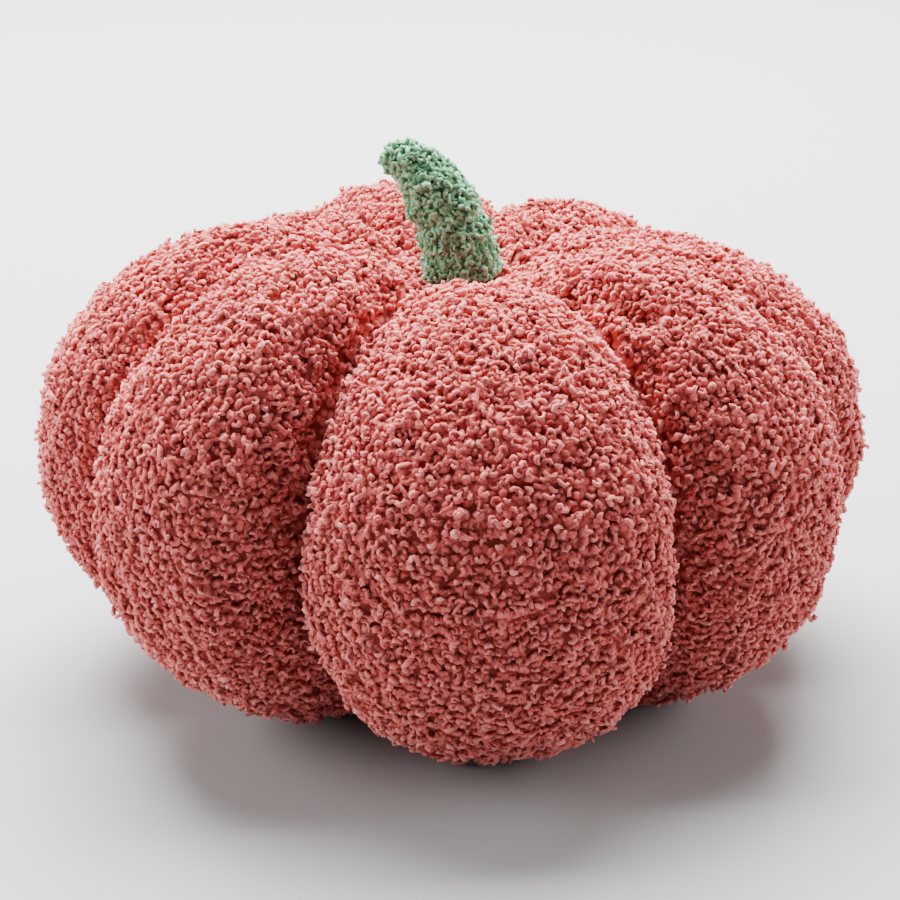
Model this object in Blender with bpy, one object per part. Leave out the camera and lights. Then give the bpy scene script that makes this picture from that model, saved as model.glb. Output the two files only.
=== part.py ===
"""Pumpkin cushion: one filled body of eight sewn lobes and a curved stem sewn into its top.

Metres, +Z up. The origin lies on the surface that the cushion rests on, under the
middle of its bounding box. The front of the cushion faces -Y. An azimuth is 0 degrees
at the front (-Y) and grows towards the cushion's right as the viewer sees it (+X).
"""

import math
from typing import NamedTuple

import bpy
import numpy as np

# Driving sizes of the body, for an average lobe, taken at the tips of the pile
EQUATOR_RADIUS = 0.170
CROWN_RISE = 0.1095
BELLY_DROP = 0.100
SIDE_FULLNESS = 0.95
CROWN_FULLNESS = 0.80
BELLY_FULLNESS = 0.86

# The drawn-in hollows where all the panels meet, above and below
TOP_HOLLOW_DEPTH = 0.0355
TOP_HOLLOW_RADIUS = 0.055
BOTTOM_HOLLOW_DEPTH = 0.017
BOTTOM_HOLLOW_RADIUS = 0.051

# The sewn channels between the lobes
SEAM_DEPTH = 0.0435
SEAM_FADE_TO_TOP = 1.10
SEAM_FADE_TO_BASE = 0.27
SEAM_HUB_RADIUS = 0.0255
LOBE_ROUNDNESS = 1.00
LOBE_FLANK = 0.82

# Where the body meets the stem and the surface it rests on
SEAT_RADIUS = 0.0185
BOTTOM_HUB_RADIUS = 0.012
REST_SQUASH = 0.006
SEWN_GAP = 0.0003

# The stem, in the upright plane through its middle; heights are above its seat
STEM_LEAN = 0.0265
STEM_RISE = 0.0475
STEM_UPRIGHT_HANDLE = (-0.001, 0.018)
STEM_TIP_HANDLE = 0.012
STEM_TIP_DOME = 0.004

# Mesh fineness; the two shares are of the hub radius beside the first and last free ring
COLUMNS_PER_LOBE = 14
BODY_ROWS = 40
RIDGE_CROWDING = 0.4
FIRST_RING_SHARE = 1.2
LAST_RING_SHARE = 1.5
STEM_SIDES = 24
STEM_RINGS = 16
DOME_RINGS = 3
SHARP_ANGLE_DEG = 40.0

# Colours are linear RGB
PINK = (0.42, 0.115, 0.11, 1.0)
GREEN = (0.25, 0.39, 0.27, 1.0)
CLOTH_ROUGHNESS = 0.95


class Lobe(NamedTuple):
    """One stuffed lobe between two seams; its seam is the one at its lower azimuth."""

    name: str
    seam_deg: float
    top_turn_deg: float
    base_turn_deg: float
    reach: float
    crown: float
    lift: float
    shoulder: float


# The turns swing the seam's ends round, above and below. reach and crown multiply the
# average radius and rise, lift raises the widest line in metres, and a shoulder over 1
# draws the upper side in
LOBES = (
    Lobe("front", -26.0, 3.0, 7.0, 0.992, 0.985, -0.0050, 1.00),
    Lobe("front_right", 36.0, 0.0, 1.5, 0.952, 1.015, -0.0020, 0.99),
    Lobe("right", 79.0, 0.0, -1.5, 0.997, 0.880, 0.0060, 1.12),
    Lobe("back_right", 134.0, 0.0, 2.0, 1.028, 0.917, -0.0025, 1.02),
    Lobe("back", 168.5, 1.0, -3.0, 1.009, 0.978, 0.0000, 1.00),
    Lobe("back_left", 220.5, 1.0, 2.0, 0.951, 0.993, -0.0060, 1.04),
    Lobe("left", 248.5, -2.0, -2.0, 1.017, 0.976, 0.0050, 1.00),
    Lobe("front_left", 294.5, -2.0, 1.0, 1.005, 1.030, 0.0035, 1.00),
)


class Pucker(NamedTuple):
    """A short crease in the upper side, along a line between two places in plan."""

    name: str
    start_deg: float
    start_radius: float
    end_deg: float
    end_radius: float
    half_width: float
    depth: float


PUCKERS = (
    Pucker("fold beside the front right seam", 37.5, 0.066, 45.0, 0.100, 0.0060, 0.0090),
    Pucker("front left crown", -32.0, 0.070, -39.0, 0.104, 0.0070, 0.0030),
    Pucker("across the front left seam", -29.0, 0.060, -13.0, 0.088, 0.0060, 0.0030),
    Pucker("left crown", -73.0, 0.062, -77.0, 0.092, 0.0075, 0.0035),
    Pucker("left of the stem", -84.0, 0.032, -90.0, 0.050, 0.0070, 0.0050),
    Pucker("back crown", 186.0, 0.045, 193.0, 0.074, 0.0080, 0.0035),
    Pucker("right crown", 101.0, 0.050, 108.0, 0.082, 0.0080, 0.0030),
)


class StemRing(NamedTuple):
    """The stem's radius at a place along its middle line, from 0 at its seat to 1."""

    along: float
    radius: float


STEM_RINGS_TABLE = (
    StemRing(0.00, 0.0170),
    StemRing(0.12, 0.0152),
    StemRing(0.30, 0.0142),
    StemRing(0.50, 0.0134),
    StemRing(0.65, 0.0120),
    StemRing(0.85, 0.0097),
    StemRing(1.00, 0.0080),
)


def clear_scene():
    """Remove whatever the scene holds."""
    for item in list(bpy.data.objects):
        bpy.data.objects.remove(item, do_unlink=True)


def ridge_line(down, reach=1.0, crown=1.0, lift=0.0, shoulder=1.0):
    """Radius and height along a lobe's ridge, for down from 0 at the top to 1 below.

    With a = pi * (0.5 - down), the radius is cos(a) to the power of the side's
    fullness, and the height is sin(a) to that of the crown or the belly. The two
    hollows are bell curves of the radius. A lobe's own crown fades into the hollow.
    """
    cosine = np.maximum(np.cos(math.pi * (0.5 - down)), 1e-6)
    sine = np.sin(math.pi * (0.5 - down))
    upper = sine > 0.0
    fullness = np.where(upper, SIDE_FULLNESS * shoulder, SIDE_FULLNESS)
    radius = EQUATOR_RADIUS * reach * cosine**fullness
    top_bell = np.exp(-((radius / TOP_HOLLOW_RADIUS) ** 2))
    bottom_bell = np.exp(-((radius / BOTTOM_HOLLOW_RADIUS) ** 2))
    own_crown = 1.0 + (crown - 1.0) * (1.0 - top_bell)
    above = CROWN_RISE * own_crown * np.abs(sine) ** CROWN_FULLNESS - TOP_HOLLOW_DEPTH * top_bell
    below = BOTTOM_HOLLOW_DEPTH * bottom_bell - BELLY_DROP * np.abs(sine) ** BELLY_FULLNESS
    return radius, np.where(upper, above, below) + lift * cosine


def seam_line(down):
    """Radius and height along the bottom of a sewn channel, and its outward direction.

    It is the average ridge moved inwards along its normal by the seam's depth, which
    fades towards the stem and towards both hubs.
    """
    radius, height = ridge_line(down)
    radius_slope = np.gradient(radius, down)
    height_slope = np.gradient(height, down)
    length = np.hypot(radius_slope, height_slope)
    outward = (-height_slope / length, radius_slope / length)
    fade = np.sin(math.pi * down) ** np.where(down < 0.5, SEAM_FADE_TO_TOP, SEAM_FADE_TO_BASE)
    depth = SEAM_DEPTH * fade * (1.0 - np.exp(-((radius / SEAM_HUB_RADIUS) ** 2)))
    return radius - outward[0] * depth, height - outward[1] * depth, outward


def pucker_depth(x, y):
    """Depth of the short creases at places in plan: a bell across each crease's line."""
    total = np.zeros_like(x)
    for crease in PUCKERS:
        start = polar(crease.start_deg, crease.start_radius)
        end = polar(crease.end_deg, crease.end_radius)
        run = (end[0] - start[0], end[1] - start[1])
        along = ((x - start[0]) * run[0] + (y - start[1]) * run[1]) / (run[0] ** 2 + run[1] ** 2)
        along = np.clip(along, 0.0, 1.0)
        away = np.hypot(x - start[0] - along * run[0], y - start[1] - along * run[1])
        total += crease.depth * np.exp(-((away / crease.half_width) ** 2))
    return total


def polar(degrees, radius):
    """A place in plan from its azimuth and its distance from the middle line."""
    angle = math.radians(degrees)
    return radius * math.sin(angle), -radius * math.cos(angle)


def seam_angle(index, rows_down):
    """Azimuth of a seam down its length; past the last lobe the index counts on round."""
    lobe = LOBES[index % len(LOBES)]
    reach_to_end = np.cos(math.pi * rows_down) ** 2
    swing = np.where(rows_down < 0.5, lobe.top_turn_deg, lobe.base_turn_deg) * reach_to_end
    whole_turns = 360.0 * (index // len(LOBES))
    return np.radians(lobe.seam_deg + whole_turns + swing)


def lobe_columns(index, rows_down):
    """Points of one lobe from its seam to just before the next, as rows of columns.

    Across the lobe, from 0 to 1, the surface swells from the seam to the ridge as
    sin(pi * across) to the lobe's roundness, while its azimuth swings from one seam to
    the next as cos(pi * across) to the power of its flank, which keeps the seams tight.
    The columns are crowded towards the ridge, where the azimuth swings fastest.
    """
    lobe = LOBES[index]
    start = seam_angle(index, rows_down)[:, None]
    end = seam_angle(index + 1, rows_down)[:, None]
    even = np.arange(COLUMNS_PER_LOBE) / COLUMNS_PER_LOBE
    across = even + RIDGE_CROWDING * np.sin(2.0 * math.pi * even) / (2.0 * math.pi)
    swell = np.sin(math.pi * across) ** LOBE_ROUNDNESS
    cosine = np.cos(math.pi * across)
    swing = np.sign(cosine) * np.abs(cosine) ** LOBE_FLANK
    angle = (start + end) / 2.0 - (end - start) / 2.0 * swing

    ridge_radius, ridge_height = ridge_line(
        rows_down, lobe.reach, lobe.crown, lobe.lift, lobe.shoulder
    )
    seam_radius, seam_height, outward = seam_line(rows_down)
    radius = seam_radius[:, None] + (ridge_radius - seam_radius)[:, None] * swell
    height = seam_height[:, None] + (ridge_height - seam_height)[:, None] * swell
    x, y = radius * np.sin(angle), -radius * np.cos(angle)
    sunk = np.where(rows_down[:, None] < 0.5, pucker_depth(x, y), 0.0)
    radius = radius - outward[0][:, None] * sunk
    height = height - outward[1][:, None] * sunk
    return np.stack([radius * np.sin(angle), -radius * np.cos(angle), height], axis=-1)


def hub_ring(rings_near, radius, height):
    """A level circle of the given radius, at the azimuths of the ring next to it."""
    angle = np.arctan2(rings_near[:, 0], -rings_near[:, 1])
    level = np.full_like(angle, height)
    return np.stack([radius * np.sin(angle), -radius * np.cos(angle), level], axis=-1)


def down_of_radius(radius):
    """How far down from the top the average upper ridge has the given radius."""
    return math.asin((radius / EQUATOR_RADIUS) ** (1.0 / SIDE_FULLNESS)) / math.pi


def body_rings():
    """All rings of the body, top to bottom, still centred on the axis of the seams."""
    first = down_of_radius(SEAT_RADIUS * FIRST_RING_SHARE)
    last = 1.0 - down_of_radius(BOTTOM_HUB_RADIUS * LAST_RING_SHARE)
    rows_down = np.linspace(first, last, BODY_ROWS - 2)
    rings = np.concatenate([lobe_columns(i, rows_down) for i in range(len(LOBES))], axis=1)
    seat_height = float(ridge_line(np.array([down_of_radius(SEAT_RADIUS)]))[1][0])
    top = hub_ring(rings[0], SEAT_RADIUS, seat_height)
    bottom = hub_ring(rings[-1], BOTTOM_HUB_RADIUS, float(rings[-1, :, 2].max()))
    rings = np.concatenate([top[None], rings, bottom[None]])
    floor = float(rings[..., 2].min()) + REST_SQUASH
    rings[..., 2] = np.maximum(rings[..., 2], floor)
    return rings, seat_height, floor


def tube_faces(rings, sides):
    """Faces of a closed tube of rings, each ring running the same way, with both ends."""
    ring, side = np.meshgrid(np.arange(rings - 1), np.arange(sides), indexing="ij")
    here = (ring * sides + side).ravel()
    beside = (ring * sides + (side + 1) % sides).ravel()
    walls = np.stack([here, here + sides, beside + sides, beside], axis=-1).tolist()
    first_end = list(range(sides))
    last_end = list(range((rings - 1) * sides, rings * sides))[::-1]
    return walls + [first_end, last_end]


def add_mesh(name, points, faces, material):
    """Make a smooth-shaded object from points and faces, with one material."""
    mesh = bpy.data.meshes.new(name)
    mesh.from_pydata(points.reshape(-1, 3).tolist(), [], faces)
    mesh.materials.append(material)
    mesh.shade_smooth()
    mesh.set_sharp_from_angle(angle=math.radians(SHARP_ANGLE_DEG))
    mesh.update()
    item = bpy.data.objects.new(name, mesh)
    bpy.context.scene.collection.objects.link(item)
    return item


def cloth(name, colour):
    """A plain woven-pile material of one colour."""
    material = bpy.data.materials.new(name)
    material.use_nodes = True
    shader = material.node_tree.nodes["Principled BSDF"]
    shader.inputs["Base Color"].default_value = colour
    shader.inputs["Roughness"].default_value = CLOTH_ROUGHNESS
    shader.inputs["Metallic"].default_value = 0.0
    return material


def make_body(rings, shift):
    """The filled body: eight lobes, the seams between them and its flat resting places."""
    return add_mesh(
        "body",
        rings + shift,
        tube_faces(rings.shape[0], rings.shape[1]),
        cloth("pink_boucle", PINK),
    )


def stem_middle(along):
    """Points and directions of the stem's middle line, a cubic curve in the XZ plane.

    The curve leaves the seat almost upright and ends level, pointing to -X.
    """
    anchors = np.array(
        [
            (0.0, 0.0),
            STEM_UPRIGHT_HANDLE,
            (STEM_TIP_HANDLE - STEM_LEAN, STEM_RISE),
            (-STEM_LEAN, STEM_RISE),
        ]
    )
    t = along[:, None]
    weights = [(1 - t) ** 3, 3 * t * (1 - t) ** 2, 3 * t**2 * (1 - t), t**3]
    middle = sum(weight * anchor for weight, anchor in zip(weights, anchors))
    slopes = [3 * (1 - t) ** 2, 6 * t * (1 - t), 3 * t**2]
    heading = sum(weight * step for weight, step in zip(slopes, np.diff(anchors, axis=0)))
    return middle, heading / np.linalg.norm(heading, axis=1, keepdims=True)


def make_stem(shift, seat_height):
    """The stem: a tapering round tube along its middle line with a domed tip."""
    table = np.array(STEM_RINGS_TABLE)
    along = np.linspace(0.0, 1.0, STEM_RINGS)
    radius = np.interp(along, table[:, 0], table[:, 1])
    middle, heading = stem_middle(along)
    heading[0] = (0.0, 1.0)

    dome_turn = np.linspace(0.0, math.pi / 2.0, DOME_RINGS + 2)[1:-1]
    dome_radius = radius[-1] * np.cos(dome_turn)
    dome_middle = middle[-1] + heading[-1] * (STEM_TIP_DOME * np.sin(dome_turn))[:, None]
    radius = np.concatenate([radius, dome_radius])
    middle = np.concatenate([middle, dome_middle])
    heading = np.concatenate([heading, np.repeat(heading[-1:], DOME_RINGS, axis=0)])

    turn = 2.0 * math.pi * np.arange(STEM_SIDES) / STEM_SIDES
    sideways = np.stack([heading[:, 1], np.zeros(len(heading)), -heading[:, 0]], axis=-1)
    front = np.array([0.0, -1.0, 0.0])
    centre = np.stack([middle[:, 0], np.zeros(len(middle)), middle[:, 1]], axis=-1)
    spoke = np.cos(turn)[None, :, None] * sideways[:, None] + np.sin(turn)[None, :, None] * front
    rings = centre[:, None] + radius[:, None, None] * spoke
    lifted = shift + np.array([0.0, 0.0, seat_height + SEWN_GAP])
    return add_mesh(
        "stem",
        rings + lifted,
        tube_faces(rings.shape[0], rings.shape[1]),
        cloth("green_boucle", GREEN),
    )


def main():
    """Build the body, then the stem in its seat, on the surface and centred."""
    clear_scene()
    rings, seat_height, floor = body_rings()
    low, high = rings.min(axis=(0, 1)), rings.max(axis=(0, 1))
    shift = np.array([-(low[0] + high[0]) / 2.0, -(low[1] + high[1]) / 2.0, -floor])
    make_body(rings, shift)
    make_stem(shift, seat_height)


main()
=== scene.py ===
"""Looks of the pumpkin cushion: a filled cover of eight lobes and its stem, both in curly yarn pile.

Metres, +Z up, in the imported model's own frame. The cover is the cloth under the pile, settled
by a short cloth simulation; every curl of yarn on it is a closed tube of its own.
"""

import logging
import math
from dataclasses import dataclass, field
from enum import Enum

import bpy
import numpy as np
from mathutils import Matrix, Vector


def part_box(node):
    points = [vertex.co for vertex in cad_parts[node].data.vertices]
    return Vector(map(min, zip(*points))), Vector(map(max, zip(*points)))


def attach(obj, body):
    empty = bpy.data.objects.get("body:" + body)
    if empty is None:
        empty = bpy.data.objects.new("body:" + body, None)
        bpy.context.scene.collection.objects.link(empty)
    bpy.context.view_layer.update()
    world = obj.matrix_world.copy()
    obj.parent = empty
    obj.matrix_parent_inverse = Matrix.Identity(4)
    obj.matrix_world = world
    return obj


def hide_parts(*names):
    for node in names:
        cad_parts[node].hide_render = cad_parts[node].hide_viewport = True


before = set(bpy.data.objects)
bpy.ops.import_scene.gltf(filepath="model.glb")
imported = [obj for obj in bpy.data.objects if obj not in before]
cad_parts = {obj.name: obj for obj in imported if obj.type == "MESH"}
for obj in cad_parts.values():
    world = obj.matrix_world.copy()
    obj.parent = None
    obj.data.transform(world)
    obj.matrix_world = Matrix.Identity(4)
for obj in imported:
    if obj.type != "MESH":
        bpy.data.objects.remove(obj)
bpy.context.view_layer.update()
BODY_NODE = "body"
STEM_NODE = "stem"
RIGID_BODY = "root"
CAD_ROWS = 40
CAD_COLUMNS = 14
FIRST_RING_SHARE = 1.2
LAST_RING_SHARE = 1.5
TONE_SPREAD = 0.5
SHORTEST = 1e-12
POLE_WIDTH = 1e-6
Colour = tuple[float, float, float]
log = logging.getLogger("pumpkin_cushion")


class Slot(Enum):
    """The record's material slots."""

    PINK = "pink_cloth"
    GREEN = "green_cloth"


class CurlKind(Enum):
    """How a curl of yarn bends: as a C, as a nearly closed ring, or as an S."""

    HOOK = 0
    RING = 1
    ESS = 2


@dataclass(frozen=True)
class CurlShape:
    """One kind of curl: how far it turns from end to end, and how common it is."""

    kind: CurlKind
    turn_low_deg: float
    turn_high_deg: float
    share: float


CURL_SHAPES = (
    CurlShape(CurlKind.HOOK, 180.0, 270.0, 0.40),
    CurlShape(CurlKind.RING, 270.0, 350.0, 0.48),
    CurlShape(CurlKind.ESS, 105.0, 150.0, 0.12),
)


@dataclass(frozen=True)
class LobeSize:
    """One stuffed lobe; its seam is the one at its lower azimuth, seen from above.

    The turns swing that seam round at its upper and lower ends. reach and crown multiply the
    average radius and rise, lift raises the widest line in metres, and a shoulder over 1 draws
    the upper side in.
    """

    name: str
    seam_deg: float
    top_turn_deg: float
    base_turn_deg: float
    reach: float
    crown: float
    lift: float
    shoulder: float


LOBES = (
    LobeSize("front", -26.0, 3.0, 7.0, 0.992, 0.985, -0.0050, 1.00),
    LobeSize("front_right", 36.0, 0.0, 1.5, 0.952, 1.015, -0.0020, 0.99),
    LobeSize("right", 79.0, 0.0, -1.5, 0.997, 0.880, 0.0060, 1.12),
    LobeSize("back_right", 134.0, 0.0, 2.0, 1.028, 0.917, -0.0025, 1.02),
    LobeSize("back", 168.5, 1.0, -3.0, 1.009, 0.978, 0.0000, 1.00),
    LobeSize("back_left", 220.5, 1.0, 2.0, 0.951, 0.993, -0.0060, 1.04),
    LobeSize("left", 248.5, -2.0, -2.0, 1.017, 0.976, 0.0050, 1.00),
    LobeSize("front_left", 294.5, -2.0, 1.0, 1.005, 1.030, 0.0035, 1.00),
)


@dataclass(frozen=True)
class Pucker:
    """A short crease in the upper side, along a line between two places in plan."""

    name: str
    start_deg: float
    start_radius: float
    end_deg: float
    end_radius: float
    half_width: float
    depth: float


PUCKERS = (
    Pucker("fold beside the front right seam", 37.5, 0.066, 45.0, 0.100, 0.0060, 0.0090),
    Pucker("front left crown", -32.0, 0.070, -39.0, 0.104, 0.0070, 0.0030),
    Pucker("across the front left seam", -29.0, 0.060, -13.0, 0.088, 0.0060, 0.0030),
    Pucker("left crown", -73.0, 0.062, -77.0, 0.092, 0.0075, 0.0035),
    Pucker("left of the stem", -84.0, 0.032, -90.0, 0.050, 0.0070, 0.0050),
    Pucker("back crown", 186.0, 0.045, 193.0, 0.074, 0.0080, 0.0035),
    Pucker("right crown", 101.0, 0.050, 108.0, 0.082, 0.0080, 0.0030),
)


def polar(degrees: float, radius: float) -> tuple[float, float]:
    """Turn an azimuth and a distance from the middle line into a place in plan.

    Args:
        degrees: Azimuth, 0 at the front (-Y), growing towards +X.
        radius: Distance from the middle line in metres.

    Returns:
        The place's x and y.
    """
    angle = math.radians(degrees)
    return radius * math.sin(angle), -radius * math.cos(angle)


def unit(vectors: np.ndarray) -> np.ndarray:
    """Scale vectors in the last axis to length one.

    Args:
        vectors: Any array whose last axis holds x, y and z.

    Returns:
        The same array with every vector one long.
    """
    return vectors / np.maximum(np.linalg.norm(vectors, axis=-1, keepdims=True), SHORTEST)


@dataclass(frozen=True)
class SoftNoise:
    """Smooth unevenness in space: a sum of plane waves in random directions.

    value(p) = sqrt(2 / count) * sum of sin(2 * pi * stretch * direction . p / wavelength + phase),
    which is about 1 in size and repeats nowhere on the cushion.
    """

    wavelength: float
    seed: int
    count: int = 24
    stretch_low: float = 0.75
    stretch_high: float = 1.35

    def at(self, points: np.ndarray) -> np.ndarray:
        """Read the noise at points.

        Args:
            points: Places, with x, y and z in the last axis.

        Returns:
            One value for each place.
        """
        random = np.random.default_rng(self.seed)
        directions = unit(random.normal(size=(self.count, 3)))
        stretch = random.uniform(self.stretch_low, self.stretch_high, self.count)
        phases = random.uniform(0.0, 2.0 * math.pi, self.count)
        waves = directions * (2.0 * math.pi * stretch / self.wavelength)[:, None]
        total = np.zeros(points.shape[:-1])
        for wave, phase in zip(waves, phases):
            total += np.sin(points @ wave + phase)
        return total * math.sqrt(2.0 / self.count)


def mesh_object(
    name: str, points: np.ndarray, quads: np.ndarray, triangles: np.ndarray
) -> bpy.types.Object:
    """Put whole arrays of points and faces into a smooth-shaded object at the origin.

    Args:
        name: The piece's name.
        points: Places, one row each.
        quads: Indices of four-sided faces, one row each.
        triangles: Indices of three-sided faces, one row each.

    Returns:
        The new object, linked to the scene.
    """
    mesh = bpy.data.meshes.new(name)
    corners = np.concatenate([quads.ravel(), triangles.ravel()]).astype(np.int32)
    sizes = np.concatenate([np.full(len(quads), 4), np.full(len(triangles), 3)]).astype(np.int32)
    starts = np.concatenate([[0], np.cumsum(sizes)[:-1]]).astype(np.int32)
    mesh.vertices.add(len(points))
    mesh.vertices.foreach_set("co", points.astype(np.float32).ravel())
    mesh.loops.add(len(corners))
    mesh.loops.foreach_set("vertex_index", corners)
    mesh.polygons.add(len(sizes))
    mesh.polygons.foreach_set("loop_start", starts)
    mesh.polygons.foreach_set("use_smooth", np.ones(len(sizes), dtype=bool))
    mesh.update(calc_edges=True)
    mesh.validate()
    item = bpy.data.objects.new(name, mesh)
    bpy.context.scene.collection.objects.link(item)
    return item


def closed_tube(grid: np.ndarray) -> tuple[np.ndarray, np.ndarray, np.ndarray]:
    """Close a tube of rings with a point in the middle of each end.

    Args:
        grid: Points as rings by places round each ring by x, y and z.

    Returns:
        The points, the four-sided wall faces and the three-sided end faces, facing outwards
        where each ring runs to the right of the way from the first ring to the last.
    """
    rings, sides = grid.shape[:2]
    points = np.concatenate([grid.reshape(-1, 3), grid[0].mean(0)[None], grid[-1].mean(0)[None]])
    ring, side = np.meshgrid(np.arange(rings - 1), np.arange(sides), indexing="ij")
    here = (ring * sides + side).ravel()
    beside = (ring * sides + (side + 1) % sides).ravel()
    quads = np.stack([here, here + sides, beside + sides, beside], axis=-1)
    first = np.arange(sides)
    last = first + (rings - 1) * sides
    first_end = np.stack([np.roll(first, -1), np.full(sides, rings * sides), first], axis=-1)
    last_end = np.stack([last, np.full(sides, rings * sides + 1), np.roll(last, -1)], axis=-1)
    return points, quads, np.concatenate([first_end, last_end])


@dataclass(frozen=True)
class SurfaceGrid:
    """A surface sampled as rings by places round each ring, the rings closed on themselves."""

    points: np.ndarray

    def directions(self) -> tuple[np.ndarray, np.ndarray, np.ndarray]:
        """Work out the surface's own directions from the differences between neighbours.

        Returns:
            Unit vectors down the rings, round each ring and outwards, at every point.
        """
        down = np.gradient(self.points, axis=0)
        around = np.roll(self.points, -1, axis=1) - np.roll(self.points, 1, axis=1)
        outwards = unit(np.cross(down, around))
        return unit(down), unit(around), outwards

    def moved(self, distance: np.ndarray | float) -> "SurfaceGrid":
        """Move every point along the surface's outward direction.

        Args:
            distance: How far, in metres; negative is inwards.

        Returns:
            The moved surface.
        """
        outwards = self.directions()[2]
        return SurfaceGrid(self.points + outwards * np.asarray(distance)[..., None])

    def cell_areas(self) -> np.ndarray:
        """Measure every cell between neighbouring points.

        Returns:
            Areas in square metres, one ring fewer than the points.
        """
        right = np.roll(self.points, -1, axis=1)
        first = right[1:] - self.points[:-1]
        second = self.points[1:] - right[:-1]
        return 0.5 * np.linalg.norm(np.cross(first, second), axis=-1)

    def sample(self, field_values: np.ndarray, ring: np.ndarray, side: np.ndarray) -> np.ndarray:
        """Read values between the grid's points, weighing the four nearest.

        Args:
            field_values: Values at the grid's points.
            ring: Places across the rings, in steps of the grid.
            side: Places round the rings, in steps of the grid.

        Returns:
            One value, or vector, for each place.
        """
        sides = self.points.shape[1]
        low_ring = np.clip(np.floor(ring).astype(int), 0, self.points.shape[0] - 2)
        low_side = np.floor(side).astype(int) % sides
        high_side = (low_side + 1) % sides
        down = (ring - low_ring)[:, None]
        along = (side - np.floor(side))[:, None]
        values = field_values.reshape(*self.points.shape[:2], -1)
        upper = values[low_ring, low_side] * (1 - along) + values[low_ring, high_side] * along
        lower = values[low_ring + 1, low_side] * (1 - along) + values[low_ring + 1, high_side] * along
        return upper * (1 - down) + lower * down


@dataclass(frozen=True)
class CushionForm:
    """The cushion's outer form at the tips of its pile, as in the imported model."""

    equator_radius: float = 0.170
    crown_rise: float = 0.1095
    belly_drop: float = 0.100
    side_fullness: float = 0.95
    crown_fullness: float = 0.80
    belly_fullness: float = 0.86
    top_hollow_depth: float = 0.0355
    top_hollow_radius: float = 0.055
    bottom_hollow_depth: float = 0.017
    bottom_hollow_radius: float = 0.051
    seam_depth: float = 0.0435
    seam_fade_to_top: float = 1.10
    seam_fade_to_base: float = 0.27
    seam_hub_radius: float = 0.0255
    lobe_roundness: float = 1.00
    lobe_flank: float = 0.82
    seam_crowding: float = 0.4
    seat_radius: float = 0.0185
    bottom_hub_radius: float = 0.012
    rest_squash: float = 0.006

    def ridge(self, down: np.ndarray, lobe: LobeSize) -> tuple[np.ndarray, np.ndarray]:
        """Follow a lobe's ridge from the top to the bottom.

        With a = pi * (0.5 - down), the radius is cos(a) to the power of the side's fullness and
        the height is sin(a) to that of the crown or the belly. The hollows are bell curves of
        the radius, and a lobe's own crown fades into the upper one.

        Args:
            down: From 0 at the top to 1 at the bottom.
            lobe: The lobe's own sizes.

        Returns:
            Radius and height at each place.
        """
        cosine = np.maximum(np.sin(math.pi * down), POLE_WIDTH)
        sine = np.cos(math.pi * down)
        upper = sine > 0.0
        fullness = np.where(upper, self.side_fullness * lobe.shoulder, self.side_fullness)
        radius = self.equator_radius * lobe.reach * cosine**fullness
        top_bell = np.exp(-((radius / self.top_hollow_radius) ** 2))
        bottom_bell = np.exp(-((radius / self.bottom_hollow_radius) ** 2))
        own_crown = 1.0 + (lobe.crown - 1.0) * (1.0 - top_bell)
        above = self.crown_rise * own_crown * np.abs(sine) ** self.crown_fullness
        above = above - self.top_hollow_depth * top_bell
        below = self.bottom_hollow_depth * bottom_bell
        below = below - self.belly_drop * np.abs(sine) ** self.belly_fullness
        return radius, np.where(upper, above, below) + lobe.lift * cosine

    def seam(self, down: np.ndarray) -> tuple[np.ndarray, np.ndarray, np.ndarray, np.ndarray]:
        """Follow the bottom of a sewn channel.

        It is the average ridge moved inwards along its normal by the seam's depth, which fades
        towards the stem and towards both hubs.

        Args:
            down: From 0 at the top to 1 at the bottom.

        Returns:
            Radius, height, and the outward direction's radial and upward parts.
        """
        average = LobeSize("average", 0.0, 0.0, 0.0, 1.0, 1.0, 0.0, 1.0)
        radius, height = self.ridge(down, average)
        radius_slope, height_slope = np.gradient(radius, down), np.gradient(height, down)
        length = np.hypot(radius_slope, height_slope)
        outward_radius, outward_height = -height_slope / length, radius_slope / length
        power = np.where(down < 0.5, self.seam_fade_to_top, self.seam_fade_to_base)
        depth = self.seam_depth * np.sin(math.pi * down) ** power
        depth = depth * (1.0 - np.exp(-((radius / self.seam_hub_radius) ** 2)))
        sunk_radius = radius - outward_radius * depth
        return sunk_radius, height - outward_height * depth, outward_radius, outward_height

    def seam_angle(self, index: int, down: np.ndarray) -> np.ndarray:
        """Azimuth of a seam down its length.

        Args:
            index: The lobe whose seam it is; past the last lobe it counts on round the cushion.
            down: From 0 at the top to 1 at the bottom.

        Returns:
            Radians, growing with index.
        """
        lobe = LOBES[index % len(LOBES)]
        turn = np.where(down < 0.5, lobe.top_turn_deg, lobe.base_turn_deg)
        swing = turn * np.cos(math.pi * down) ** 2
        return np.radians(lobe.seam_deg + 360.0 * (index // len(LOBES)) + swing)

    def pucker_depth(self, x: np.ndarray, y: np.ndarray) -> np.ndarray:
        """Depth of the short creases: a bell across the line of each.

        Args:
            x: Places in plan, measured from the seams' axis.
            y: The same places' other coordinate.

        Returns:
            Metres, inwards.
        """
        total = np.zeros_like(x)
        for crease in PUCKERS:
            start = polar(crease.start_deg, crease.start_radius)
            end = polar(crease.end_deg, crease.end_radius)
            run = (end[0] - start[0], end[1] - start[1])
            along = (x - start[0]) * run[0] + (y - start[1]) * run[1]
            along = np.clip(along / (run[0] ** 2 + run[1] ** 2), 0.0, 1.0)
            away = np.hypot(x - start[0] - along * run[0], y - start[1] - along * run[1])
            total += crease.depth * np.exp(-((away / crease.half_width) ** 2))
        return total

    def down_of_radius(self, radius: float) -> float:
        """How far down from the top the average upper ridge has this radius."""
        return math.asin((radius / self.equator_radius) ** (1.0 / self.side_fullness)) / math.pi

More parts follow.
